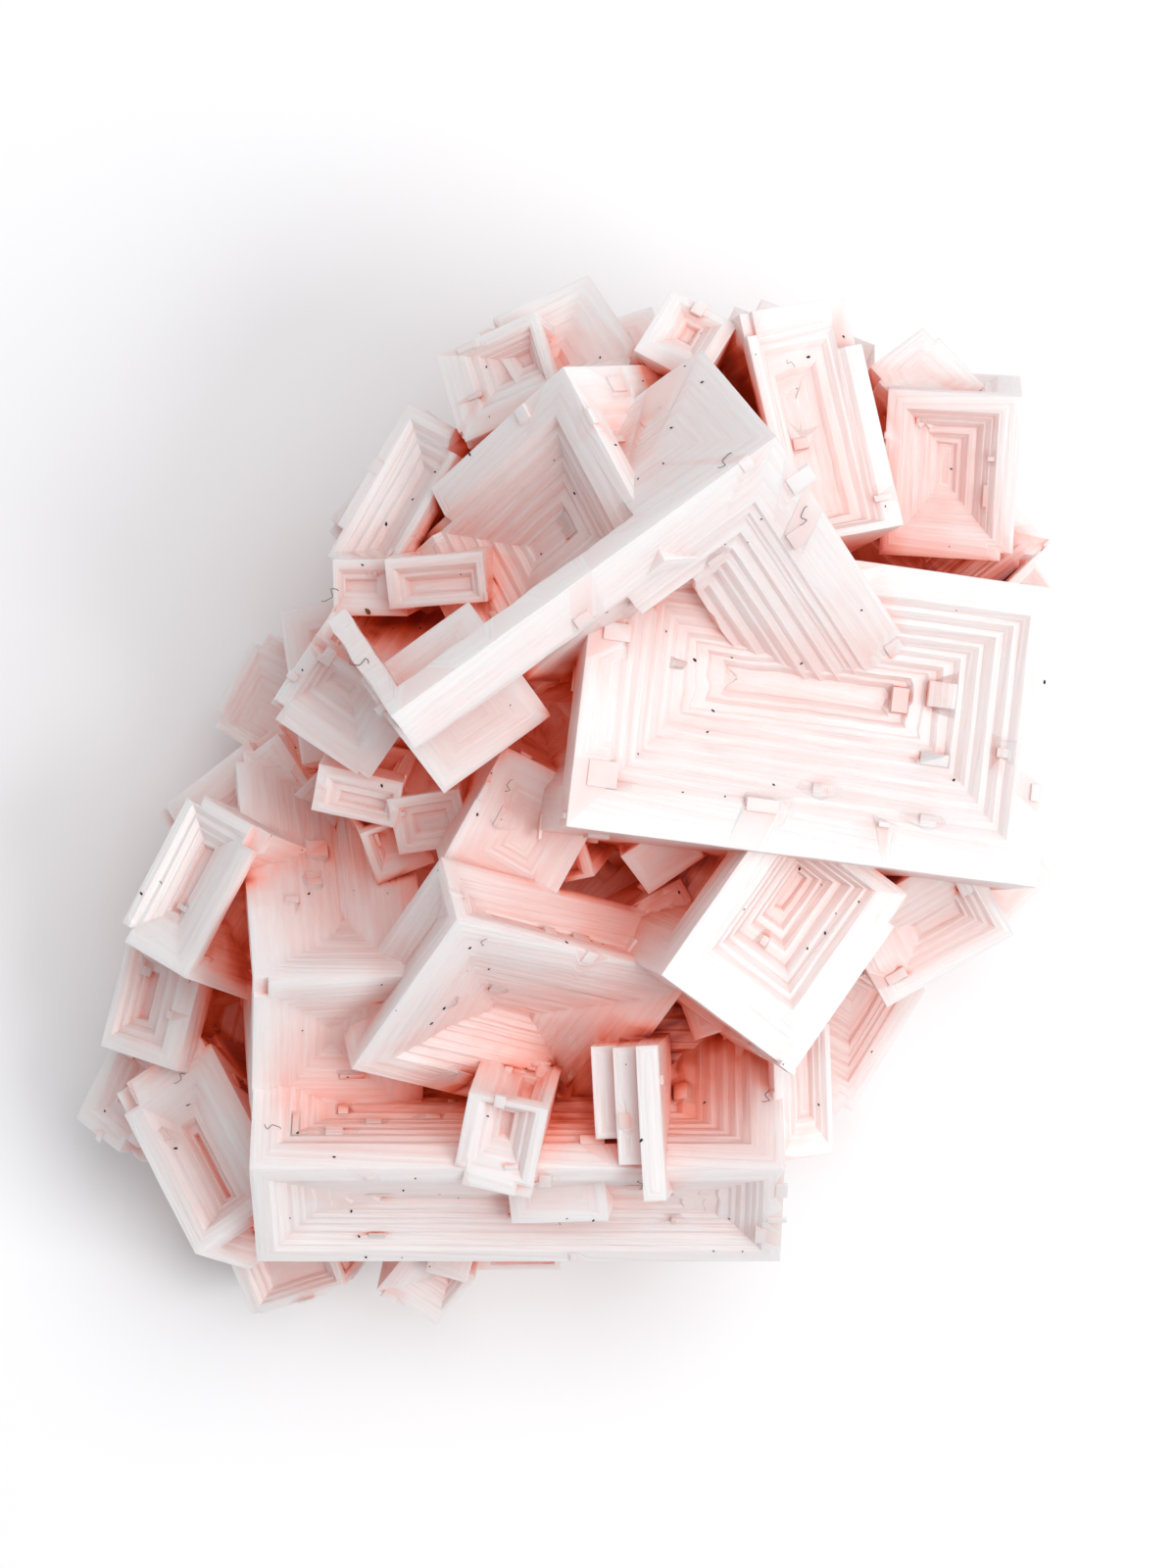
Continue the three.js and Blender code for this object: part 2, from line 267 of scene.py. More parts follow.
fall_share = add(
    face_tree,
    "FunctionNodeRandomValue",
    {**UNEVENNESS, "ID": turn, "Seed": salt},
    data_type="FLOAT",
)
fall = add(face_tree, "ShaderNodeMath", {0: mean_riser, 1: fall_share.outputs[1]}, operation="MULTIPLY")
down = add(face_tree, "ShaderNodeMath", {0: fall, 1: -1.0}, operation="MULTIPLY")
drop = add(face_tree, "ShaderNodeCombineXYZ", {2: down})
sunk = add(
    face_tree,
    "GeometryNodeExtrudeMesh",
    {
        "Mesh": rimmed,
        "Selection": inset.outputs["Top"],
        "Offset": drop,
        "Offset Scale": 1.0,
        "Individual": False,
    },
    mode="FACES",
)
wanted_slope = add(face_tree, "ShaderNodeMath", {0: fall, 1: given["Splay"]}, operation="MULTIPLY")
slope, slope_left, slope_ratios = narrowed_halves(ledge_left, wanted_slope)
closing = add(face_tree, "ShaderNodeCombineXYZ", {0: slope_ratios[0], 1: slope_ratios[1], 2: 1.0})
closed_in = drawn_in(closing)
sloped = add(
    face_tree,
    "GeometryNodeSetPosition",
    {"Geometry": sunk, "Selection": sunk.outputs["Top"], "Position": closed_in},
)
deeper = add(face_tree, "ShaderNodeMath", {0: begin.outputs["Depth"], 1: fall}, operation="ADD")
gone_in = add(face_tree, "ShaderNodeMath", {0: gone, 1: slope}, operation="ADD")
gone_in_mm = add(face_tree, "ShaderNodeMath", {0: gone_in, 1: 1000.0}, operation="MULTIPLY")
measured = add(
    face_tree,
    "GeometryNodeStoreNamedAttribute",
    {"Geometry": sloped, "Selection": sunk.outputs["Top"], "Name": "inset_mm", "Value": gone_in_mm},
    data_type="FLOAT",
    domain="POINT",
)
depth_mm = add(face_tree, "ShaderNodeMath", {0: deeper, 1: 1000.0}, operation="MULTIPLY")
sounded = add(
    face_tree,
    "GeometryNodeStoreNamedAttribute",
    {"Geometry": measured, "Selection": sunk.outputs["Top"], "Name": "depth_mm", "Value": depth_mm},
    data_type="FLOAT",
    domain="POINT",
)
remarked = add(
    face_tree,
    "GeometryNodeStoreNamedAttribute",
    {"Geometry": sounded, "Name": "floor", "Value": sunk.outputs["Top"]},
    data_type="BOOLEAN",
    domain="FACE",
)
face_tree.links.new(remarked.outputs[0], end.inputs["Geometry"])
face_tree.links.new(slope_left[0], end.inputs["Half X"])
face_tree.links.new(slope_left[1], end.inputs["Half Y"])
face_tree.links.new(gone_in.outputs[0], end.inputs["Inset"])
face_tree.links.new(deeper.outputs[0], end.inputs["Depth"])
# The floor is drawn in to a small middle, so that growth lines can run round it too.
floor = add(face_tree, "GeometryNodeInputNamedAttribute", {"Name": "floor"}, data_type="BOOLEAN")
last = add(
    face_tree,
    "GeometryNodeExtrudeMesh",
    {"Mesh": end.outputs["Geometry"], "Selection": floor, "Offset Scale": 0.0, "Individual": False},
    mode="FACES",
)
half_left = add(
    face_tree,
    "ShaderNodeMath",
    {0: end.outputs["Half X"], 1: end.outputs["Half Y"]},
    operation="MINIMUM",
)
last_strip = add(face_tree, "ShaderNodeMath", {0: half_left, 1: LAST_LEDGE}, operation="MULTIPLY")
last_ratios = []
for half in ("Half X", "Half Y"):
    left = add(face_tree, "ShaderNodeMath", {0: end.outputs[half], 1: last_strip}, operation="SUBTRACT")
    ratio = add(face_tree, "ShaderNodeMath", {0: left, 1: end.outputs[half]}, operation="DIVIDE")
    last_ratios.append(ratio)
towards_middle = add(face_tree, "ShaderNodeCombineXYZ", {0: last_ratios[0], 1: last_ratios[1], 2: 1.0})
gathered = drawn_in(towards_middle)
centred = add(
    face_tree,
    "GeometryNodeSetPosition",
    {"Geometry": last, "Selection": last.outputs["Top"], "Position": gathered},
)
last_inset = add(face_tree, "ShaderNodeMath", {0: end.outputs["Inset"], 1: last_strip}, operation="ADD")
last_inset_mm = add(face_tree, "ShaderNodeMath", {0: last_inset, 1: 1000.0}, operation="MULTIPLY")
finished = add(
    face_tree,
    "GeometryNodeStoreNamedAttribute",
    {"Geometry": centred, "Selection": last.outputs["Top"], "Name": "inset_mm", "Value": last_inset_mm},
    data_type="FLOAT",
    domain="POINT",
)
add(face_tree, "NodeGroupOutput", {0: finished})

FACES = (
    ("+X", ("Side Z", "Side Y", "Side X"), (0, math.pi / 2, 0), (0.5, 0, 0)),
    ("-X", ("Side Z", "Side Y", "Side X"), (0, -math.pi / 2, 0), (-0.5, 0, 0)),
    ("+Y", ("Side X", "Side Z", "Side Y"), (-math.pi / 2, 0, 0), (0, 0.5, 0)),
    ("-Y", ("Side X", "Side Z", "Side Y"), (math.pi / 2, 0, 0), (0, -0.5, 0)),
    ("+Z", ("Side X", "Side Y", "Side Z"), (0, 0, 0), (0, 0, 0.5)),
    ("-Z", ("Side X", "Side Y", "Side Z"), (math.pi, 0, 0), (0, 0, -0.5)),
)
CRYSTAL_INPUTS = (
    ("Side X", "NodeSocketFloat"),
    ("Side Y", "NodeSocketFloat"),
    ("Side Z", "NodeSocketFloat"),
    ("Rim", "NodeSocketFloat"),
    ("Tread", "NodeSocketFloat"),
    ("Riser", "NodeSocketFloat"),
    ("Splay", "NodeSocketFloat"),
    ("Aside", "NodeSocketFloat"),
    ("Ragged", "NodeSocketFloat"),
    ("Segment", "NodeSocketFloat"),
    ("Bite", "NodeSocketFloat"),
    ("Wander", "NodeSocketFloat"),
    ("Block Spacing", "NodeSocketFloat"),
    ("Seed", "NodeSocketInt"),
    *((f"Steps {face[0]}", "NodeSocketInt") for face in FACES),
)
crystal_tree, given = growth_tree("Hopper crystal", CRYSTAL_INPUTS)
sides = add(
    crystal_tree,
    "ShaderNodeCombineXYZ",
    {0: given["Side X"], 1: given["Side Y"], 2: given["Side Z"]},
)
shell = add(crystal_tree, "GeometryNodeJoinGeometry")
PIT_PROFILE = ("Rim", "Tread", "Riser", "Splay", "Aside", "Ragged", "Segment")
for number, (name, (across, up, through), rotation, middle) in enumerate(FACES):
    seed = add(crystal_tree, "ShaderNodeMath", {0: given["Seed"], 1: 7.0 * number}, operation="ADD")
    one = add(crystal_tree, "GeometryNodeGroup", node_tree=face_tree)
    feeds = {
        "Width": given[across],
        "Height": given[up],
        "Room": given[through],
        "Steps": given[f"Steps {name}"],
        "Seed": seed.outputs[0],
        **{label: given[label] for label in PIT_PROFILE},
    }
    for label, source in feeds.items():
        crystal_tree.links.new(source, one.inputs[label])
    spot = add(crystal_tree, "ShaderNodeVectorMath", {0: sides, 1: middle}, operation="MULTIPLY")
    turned = add(
        crystal_tree,
        "GeometryNodeTransform",
        {"Geometry": one, "Translation": spot, "Rotation": rotation},
    )
    crystal_tree.links.new(turned.outputs[0], shell.inputs[0])
welded = add(crystal_tree, "GeometryNodeMergeByDistance", {"Geometry": shell, "Distance": 0.00001})
# The blocks that started to grow on a face sit square to it and keep clear of each other.
spots = add(
    crystal_tree,
    "GeometryNodeDistributePointsOnFaces",
    {"Mesh": welded, "Distance Min": given["Block Spacing"], "Density Max": 14000.0, "Seed": given["Seed"]},
    distribute_method="POISSON",
)
cube = add(crystal_tree, "GeometryNodeMeshCube", {"Size": (1.0, 1.0, 1.0)})
broad = add(
    crystal_tree,
    "FunctionNodeRandomValue",
    {0: (0.15, 0.15, 0.15), 1: (0.9, 0.9, 0.9), "Seed": given["Seed"]},
    data_type="FLOAT_VECTOR",
)
thin = add(
    crystal_tree,
    "FunctionNodeRandomValue",
    {0: (0.06, 0.06, 0.06), 1: (0.22, 0.22, 0.22), "Seed": given["Seed"]},
    data_type="FLOAT_VECTOR",
)
upright = add(crystal_tree, "ShaderNodeVectorMath", {0: spots.outputs["Normal"]}, operation="ABSOLUTE")
thinner = add(
    crystal_tree,
    "ShaderNodeVectorMath",
    {0: thin.outputs[0], 1: broad.outputs[0]},
    operation="SUBTRACT",
)
wanted = add(
    crystal_tree,
    "ShaderNodeVectorMath",
    {0: upright, 1: thinner, 2: broad.outputs[0]},
    operation="MULTIPLY_ADD",
)
block_size = add(
    crystal_tree,
    "ShaderNodeVectorMath",
    {0: wanted, "Scale": given["Block Spacing"]},
    operation="SCALE",
)
placed = add(
    crystal_tree,
    "GeometryNodeInstanceOnPoints",
    {"Points": spots, "Instance": cube, "Scale": block_size},
)
blocks = add(crystal_tree, "GeometryNodeRealizeInstances", {0: placed})
grown = add(
    crystal_tree,
    "GeometryNodeMeshBoolean",
    {"Mesh 2": welded},
    operation="UNION",
    solver="MANIFOLD",
)
crystal_tree.links.new(blocks.outputs[0], grown.inputs["Mesh 2"])
# Some corners stayed behind in their growth: a small step is missing there.
bare = add(crystal_tree, "GeometryNodeMeshCube", {"Size": sides})
corner_ids = add(crystal_tree, "GeometryNodeInputIndex")
chosen = add(
    crystal_tree,
    "FunctionNodeRandomValue",
    {"Probability": 0.55, "ID": corner_ids, "Seed": given["Seed"]},
    data_type="BOOLEAN",
)
step_share = add(
    crystal_tree,
    "FunctionNodeRandomValue",
    {0: (0.3, 0.3, 0.3), 1: (2.2, 2.2, 2.2), "ID": corner_ids, "Seed": given["Seed"]},
    data_type="FLOAT_VECTOR",
)
step_bite = add(
    crystal_tree,
    "ShaderNodeVectorMath",
    {0: step_share, "Scale": given["Bite"]},
    operation="SCALE",
)
step_size = add(crystal_tree, "ShaderNodeVectorMath", {0: step_bite, 1: sides}, operation="MULTIPLY")
corners = add(crystal_tree, "GeometryNodeMeshToPoints", {"Mesh": bare, "Selection": chosen.outputs[3]})
missing = add(
    crystal_tree,
    "GeometryNodeInstanceOnPoints",
    {"Points": corners, "Instance": cube, "Scale": step_size},
)
bitten = add(
    crystal_tree,
    "GeometryNodeMeshBoolean",
    {"Mesh 1": grown, "Mesh 2": add(crystal_tree, "GeometryNodeRealizeInstances", {0: missing})},
    operation="DIFFERENCE",
    solver="MANIFOLD",
)
has_bites = add(crystal_tree, "FunctionNodeCompare", {0: given["Bite"], 1: 0.0}, operation="GREATER_THAN")
shaped = add(
    crystal_tree,
    "GeometryNodeSwitch",
    {0: has_bites, 1: grown, 2: bitten},
    input_type="GEOMETRY",
)
place = add(crystal_tree, "GeometryNodeInputPosition")
NOISE_MIDDLE = (0.5, 0.5, 0.5)
slow = add(crystal_tree, "ShaderNodeTexNoise", {"Vector": place, "Scale": 260.0, "Detail": 2.0})
swing = add(
    crystal_tree,
    "ShaderNodeVectorMath",
    {0: slow.outputs["Color"], 1: NOISE_MIDDLE},
    operation="SUBTRACT",
)
wander = add(crystal_tree, "ShaderNodeVectorMath", {0: swing, "Scale": given["Wander"]}, operation="SCALE")
swayed = add(crystal_tree, "GeometryNodeSetPosition", {"Geometry": shaped, "Offset": wander})
inset_name = add(crystal_tree, "GeometryNodeInputNamedAttribute", {"Name": "inset_mm"}, data_type="FLOAT")
depth_name = add(crystal_tree, "GeometryNodeInputNamedAttribute", {"Name": "depth_mm"}, data_type="FLOAT")
growth = add(crystal_tree, "ShaderNodeCombineXYZ", {0: inset_name, 1: depth_name})
mapped = add(
    crystal_tree,
    "GeometryNodeStoreNamedAttribute",
    {"Geometry": swayed, "Name": "growth", "Value": growth},
    data_type="FLOAT2",
    domain="CORNER",
)
add(crystal_tree, "NodeGroupOutput", {0: add(crystal_tree, "GeometryNodeRealizeInstances", {0: mapped})})


# ---------------------------------------------------------------- The cluster
# Some sixty crystals of pink rock salt that grew into each other from one bed and are one solid.
# Each is given by its centre and sides in millimetres, and by its stance in degrees: the lean
# of its top face, the compass direction it leans towards, and the turn of its first side.
FOOTPRINT_MIDDLE = Vector((-1.356, -2.11, 0))
FRONTAL = {"Rim": 0.12, "Tread": 0.016, "Riser": 0.014, "Splay": 1.3, "Aside": 0.4, "Bite": 0.0}
SHALLOW = {"Rim": 0.14, "Tread": 0.018, "Riser": 0.009, "Splay": 2.0, "Aside": 0.5, "Bite": 0.1}
STEEP = {"Rim": 0.15, "Tread": 0.01, "Riser": 0.016, "Splay": 1.6, "Aside": 0.4, "Bite": 0.0}
SMOOTH = {"Rim": 0.08, "Tread": 0.05, "Riser": 0.0006, "Splay": 1.0, "Aside": 0.0, "Bite": 0.0}
CRYSTALS = (
    # centre, sides, stance, steps of a showing face, plain faces, and a profile if it is its own
    ((1.4, 20, 32.6), (21.8, 18, 19), (41, 187, 213), 7, ""),
    ((15.6, 5.6, 25.6), (39, 24, 24), (14, 10, -7), 9, "", FRONTAL),
    ((-10.4, 6.8, 39.3), (10.5, 9.5, 6), (42, 306, 216), 3, "", SMOOTH),
    ((-8.6, 19.5, 29.5), (4, 4, 8), (41, 187, 213), 1, ""),
    ((-4.6, 17.8, 30.5), (5, 4, 8), (41, 187, 213), 1, ""),
    ((-18.2, 0.3, 25), (7, 4, 8), (20, 250, -12), 2, ""),
    ((-16.5, -3.5, 22.5), (5, 5, 8), (30, 300, 20), 2, ""),
    ((-5.6, -2.5, 27.2), (9.5, 11, 12), (14, 290, -28), 3, "", SMOOTH),
    ((-12.5, -1, 24), (6, 5, 10), (25, 260, 10), 2, ""),
    ((-6, -16.9, 28.5), (22, 18, 7), (46, 286, -25), 9, "", STEEP),
    ((-21.6, -12.3, 18.5), (14, 16, 28), (42, 279, -1), 8, "", SHALLOW),
    ((-5.7, -27.4, 20.6), (43, 13, 20), (50, 270, 0), 9, "", FRONTAL),
    ((-6.5, -27.4, 28.3), (6.5, 8, 10), (20, 250, -12), 3, ""),
    ((5.6, -26.9, 28), (1.8, 12.5, 12), (6, 200, 3), 2, "", SMOOTH),
    ((3.8, -25.6, 26.6), (2, 9.5, 12), (6, 200, 3), 2, "", SMOOTH),
    ((2, -24.6, 25.4), (2, 7.5, 12), (6, 200, 3), 2, "", SMOOTH),
    ((-1.8, -31.6, 23.4), (8, 4.5, 10), (24, 250, 4), 2, "", SMOOTH),
    ((13.7, -11.3, 29.4), (17, 14, 14), (20, 340, 54), 6, ""),
    ((14.5, -12.5, 19), (12, 12, 16), (20, 200, 20), 4, "", SMOOTH),
    ((6.4, -12, 23), (8, 8, 8), (15, 250, 30), 3, "", SMOOTH),
    ((-1.2, -4.9, 27), (4.5, 4, 7), (25, 230, 15), 1, ""),
    ((5.8, -4.5, 27), (5.5, 4, 8), (20, 280, 35), 2, "", SMOOTH),
    ((34.3, 15.2, 12.6), (6, 6, 12), (25, -10, 40), 2, ""),
    ((29.6, 12.6, 24.4), (10, 6, 12), (20, 200, -15), 3, ""),
    ((29.8, 26.3, 22.2), (10.8, 13.5, 14), (12, 250, -3), 5, ""),
    ((26.2, 30.8, 21.6), (7, 7, 12), (25, 60, 40), 3, "+Z"),
    ((16.5, 28, 29.4), (9.5, 19, 14), (20, 25, 12), 4, ""),
    ((6.9, 33.1, 30.6), (6, 6.5, 12), (25, 70, -30), 3, ""),
    ((-1.5, 31.6, 26.3), (10, 10, 14), (35, 100, 28), 4, ""),
    ((-5, 31.2, 28.6), (9, 8, 12), (25, 150, 20), 4, ""),
    ((-12.1, 21.3, 25.3), (14, 7, 14), (35, 150, 60), 4, ""),
    ((-16.3, 16.6, 27.2), (6, 4.5, 14), (12, 220, 0), 2, ""),
    ((-10.7, 17.3, 30.2), (8, 4, 14), (15, 220, 5), 2, ""),
    ((-17.3, 10.1, 27.7), (10, 9, 16), (38, 240, -35), 4, ""),
    ((-29.6, -9.5, 20.4), (13.5, 8, 13), (30, 155, 62), 4, ""),
    ((-33, -18, 12.8), (11, 8, 12), (30, 170, 75), 3, ""),
    ((-36.1, -26.5, 7.9), (9, 7, 10), (35, 170, 60), 3, ""),
    ((-29.9, -30.8, 14.6), (16, 9.5, 12), (25, 150, -58), 4, ""),
    ((-24.5, -39.2, 6.3), (9, 7, 10), (20, 230, 20), 3, ""),
    ((-13.1, -39.3, 10.7), (6, 6, 10), (30, 260, -35), 3, ""),
    ((-10.2, -35.5, 14.5), (3.5, 8, 10), (25, 250, -15), 2, "", SMOOTH),
    ((-5.7, -37.2, 12.2), (7, 4, 10), (15, 270, 0), 2, ""),
    ((14.2, -23.2, 18.7), (5, 11, 18), (25, 330, 5), 3, ""),
    ((26.3, -9.5, 20.4), (12, 9, 14), (20, 300, 30), 4, ""),
    ((32, -6.6, 16.8), (8, 6, 12), (30, 330, 40), 3, "+Z"),
    # the flanks, down to the cut base
    ((30, 3, 9), (12, 13, 13), (20, 20, 15), 4, ""),
    ((29, 20, 10), (12, 13, 14), (15, 60, 40), 4, ""),
    ((16, 30, 12), (13, 12, 18), (20, 100, 65), 4, ""),
    ((1, 29, 12), (13, 13, 18), (18, 80, 20), 4, ""),
    ((-11, 20, 11), (13, 12, 18), (25, 130, 50), 4, ""),
    ((-17, 8, 11), (12, 13, 17), (15, 150, 10), 4, ""),
    ((-26, -4, 8), (13, 12, 14), (20, 170, 35), 4, ""),
    ((-31, -21, 5), (12, 12, 11), (15, 200, 20), 4, ""),
    ((-22, -32, 6), (13, 12, 13), (20, 230, 55), 4, ""),
    ((-8, -33, 5), (12, 10, 12), (15, 260, 10), 4, ""),
    ((7, -29, 8), (14, 12, 15), (20, 280, 35), 4, ""),
    ((18, -18, 8), (13, 13, 15), (18, 310, 60), 4, ""),
    ((27, -7, 7), (13, 11, 13), (25, 335, 25), 4, ""),
    ((-24, 6, 7), (9, 10, 12), (20, 160, 60), 3, ""),
    ((8, 32, 5), (12, 9, 10), (25, 85, 5), 3, ""),
    ((-2, -2, 8), (50, 32, 18), (6, 90, 45), 8, "", SMOOTH),
    ((5, 16, 16.5), (26, 20, 19), (8, 60, 36), 8, "", SMOOTH),
)
ROOF = ((4.3, 9.5, 33.4), (36.6, 34, 14), (42, 306, 216))


def stance_matrix(at, stance):
    lean, towards, turned = (math.radians(angle) for angle in stance)
    turning = Matrix.Rotation(towards, 4, "Z") @ Matrix.Rotation(lean, 4, "Y")
    turning = turning @ Matrix.Rotation(turned - towards, 4, "Z")
    return Matrix.Translation((Vector(at) - FOOTPRINT_MIDDLE) * MM) @ turning


def grown_mesh(tree, values, name):
    """The plain mesh that a tree makes from named values."""
    holder = bpy.data.objects.new(name, bpy.data.meshes.new(name))
    bpy.context.scene.collection.objects.link(holder)
    growing = holder.modifiers.new("Growth", "NODES")
    growing.node_group = tree
    for item in tree.interface.items_tree:
        if item.in_out == "INPUT":
            growing[item.identifier] = values[item.name]
    depsgraph = bpy.context.evaluated_depsgraph_get()
    mesh = bpy.data.meshes.new_from_object(
        holder.evaluated_get(depsgraph), preserve_all_data_layers=True, depsgraph=depsgraph
    )
    bpy.data.objects.remove(holder)
    return mesh


def crystal_values(sides, steps_of, seed):
    smallest = min(sides)
    return {
        "Side X": sides[0] * MM,
        "Side Y": sides[1] * MM,
        "Side Z": sides[2] * MM,
        "Rim": (0.15, 0.19, 0.12, 0.17)[seed % 4],
        "Tread": 0.13 / max(1, *steps_of.values()),
        "Riser": (0.13, 0.1, 0.15, 0.08, 0.12)[seed % 5] / max(1, *steps_of.values()),
        "Splay": (1.1, 1.4, 0.8)[seed % 3],
        "Aside": 1.0,
        "Ragged": 0.3,
        "Segment": (1.2 + smallest * 0.06) * MM,
        "Bite": 0.2 if smallest > 6 and max(steps_of.values()) > 0 else 0.0,
        "Wander": 0.12 * MM,
        "Block Spacing": (1.2 + smallest * 0.08) * MM,
        "Seed": seed,
        **{f"Steps {face}": steps for face, steps in steps_of.items()},
    }


LOOKS_OUTWARD = 0.25
BED_DEPTH = 8 * MM


def showing_steps(sides, placing, steps, plain):
    """A face that looks into the cluster met its neighbours before it could grow a pit."""
    found = {}
    for face, _, _, middle in FACES:
        axis = Vector(middle) * 2
        centre = placing @ Vector(side * part * MM for side, part in zip(sides, middle))
        outward = (centre - Vector((0, 0, BED_DEPTH))).normalized()
        normal = (placing.to_3x3() @ axis).normalized()
        shows = normal.dot(outward) > LOOKS_OUTWARD or normal.z > LOOKS_OUTWARD
        found[face] = steps if shows and face not in plain else 0
    return found


cluster_parts = bpy.data.collections.new("Crystals grown together")
for seed, (at, sides, stance, steps, plain, *own) in enumerate(CRYSTALS):
    placing = stance_matrix(at, stance)
    values = crystal_values(sides, showing_steps(sides, placing, steps, plain), seed)
    for profile in own:
        values.update(profile)
    crystal = grown_mesh(crystal_tree, values, f"crystal {seed}")
    crystal.transform(placing)
    cluster_parts.objects.link(bpy.data.objects.new(crystal.name, crystal))

# The roof crystal is one corner of a larger cube whose other corner never grew: two arms that
# meet at the apex, with the ledges of one great pit, and a thin overhanging rim along the ridge.
trim_tree, given = growth_tree(
    "Broken box",
    (("Size", "NodeSocketVector"), ("Middle", "NodeSocketVector"), ("Ragged", "NodeSocketFloat")),
)
block = add(
    trim_tree,
    "GeometryNodeMeshCube",
    {"Size": given["Size"], "Vertices X": 26, "Vertices Y": 26, "Vertices Z": 12},
)
place = add(trim_tree, "GeometryNodeInputPosition")
chips = add(trim_tree, "ShaderNodeTexNoise", {"Vector": place, "Scale": 320.0, "Detail": 2.0})
pushed = add(
    trim_tree,
    "ShaderNodeVectorMath",
    {0: chips.outputs["Color"], 1: NOISE_MIDDLE},
    operation="SUBTRACT",
)
stepped = add(trim_tree, "ShaderNodeVectorMath", {0: pushed, 1: (0.08, 0.08, 0.08)}, operation="SNAP")
broken = add(trim_tree, "ShaderNodeVectorMath", {0: stepped, "Scale": given["Ragged"]}, operation="SCALE")
shifted = add(trim_tree, "ShaderNodeVectorMath", {0: broken, 1: given["Middle"]}, operation="ADD")
rough = add(trim_tree, "GeometryNodeSetPosition", {"Geometry": block, "Offset": shifted})
add(trim_tree, "NodeGroupOutput", {0: rough})


def boolean_tree(name, operation):
    tree, given = growth_tree(name, (("Body", "NodeSocketObject"), ("Others", "NodeSocketCollection")))
    body = add(tree, "GeometryNodeObjectInfo", {0: given["Body"]})
    others = add(tree, "GeometryNodeCollectionInfo", {0: given["Others"], 1: True})
    sockets = {"Mesh 2": others}
    if operation == "DIFFERENCE":
        sockets = {"Mesh 1": body.outputs["Geometry"], "Mesh 2": others}
    result = add(tree, "GeometryNodeMeshBoolean", sockets, operation=operation, solver="MANIFOLD")
    if operation == "UNION":
        tree.links.new(body.outputs["Geometry"], result.inputs["Mesh 2"])
    add(tree, "NodeGroupOutput", {0: add(tree, "GeometryNodeRealizeInstances", {0: result})})
    return tree


union_tree = boolean_tree("Grown together", "UNION")
cut_tree = boolean_tree("Broken away", "DIFFERENCE")


def joined(tree, body, others, name):
    """One mesh: a body with a collection of objects added to it or taken from it."""
    body_object = bpy.data.objects.new(f"{name} body", body)
    mesh = grown_mesh(tree, {"Body": body_object, "Others": others}, name)
    bpy.data.objects.remove(body_object)
    return mesh


WHOLE_CUBE = (73.2, 68, 14)
whole_values = crystal_values(WHOLE_CUBE, {face[0]: 12 if face[0] == "+Z" else 0 for face in FACES}, 90)
whole_values.update({"Rim": 0.06, "Tread": 0.008, "Riser": 0.0075, "Splay": 0.9, "Ragged": 0.03})
whole_values.update({"Segment": 1.8 * MM, "Block Spacing": 2.5 * MM, "Aside": 0.0, "Bite": 0.0})
whole_roof = grown_mesh(crystal_tree, whole_values, "whole roof cube")
whole_roof.transform(Matrix.Translation(Vector((18.3, 17, 0)) * MM))
roof_cuts = bpy.data.collections.new("Roof cuts")
for number, (low, high, ragged) in enumerate(
    (
        ((-6.6, -9.3, -12), (62, 58, 12), 2.2),
        ((-2, -12.4, -12), (62, 58, 12), 0.8),
        ((18.3, -30, -12), (62, 58, 12), 1.2),
        ((-30, 17, -12), (62, 58, 12), 1.2),
        ((-6, -22, -12), (16.5, -11.2, 4.6), 0.8),
    )
):
    low, high = Vector(low), Vector(high)
    trim_values = {"Size": (high - low) * MM, "Middle": (high + low) / 2 * MM, "Ragged": ragged * MM}
    trim = grown_mesh(trim_tree, trim_values, f"roof cut {number}")
    roof_cuts.objects.link(bpy.data.objects.new(trim.name, trim))
roof_mesh = joined(cut_tree, whole_roof, roof_cuts, "roof")
roof_mesh.transform(stance_matrix(ROOF[0], ROOF[2]))

# Everything is joined, and the base is cut flat where the cluster was parted from its bed.
solid = joined(union_tree, roof_mesh, cluster_parts, "Pink halite cluster")
outside = bpy.data.collections.new("Outside the block")
low, high = (Vector(corner) for corner in cad_box)
reach = 120 * MM
for axis in range(3):
    for far in (False, True):
        start, stop = [-reach] * 3, [reach] * 3
        if far:
            start[axis] = high[axis]
        else:
            stop[axis] = low[axis]
        slab_values = {
            "Size": Vector(stop) - Vector(start),
            "Middle": (Vector(stop) + Vector(start)) / 2,
            "Ragged": 0.0,
        }
        slab = grown_mesh(trim_tree, slab_values, f"outside {axis} {far}")
        outside.objects.link(bpy.data.objects.new(slab.name, slab))
solid = joined(cut_tree, solid, outside, "Pink halite cluster")
cluster = bpy.data.objects.new("Pink_halite_cluster", solid)
bpy.context.scene.collection.objects.link(cluster)
for spare in (cluster_parts, roof_cuts, outside):
    for part in list(spare.objects):
        bpy.data.objects.remove(part)
    bpy.data.collections.remove(spare)


# Pits that a neighbour closed over filled up with salt, so only the outermost shell is kept.
def outermost_shell(mesh):
    parent = list(range(len(mesh.vertices)))

    def root(vertex):
        while parent[vertex] != vertex:
            parent[vertex] = parent[parent[vertex]]
            vertex = parent[vertex]
        return vertex

    for edge in mesh.edges:
        parent[root(edge.vertices[0])] = root(edge.vertices[1])
    roots = np.array([root(vertex) for vertex in range(len(mesh.vertices))])
    found, counts = np.unique(roots, return_counts=True)
    return roots == found[counts.argmax()]


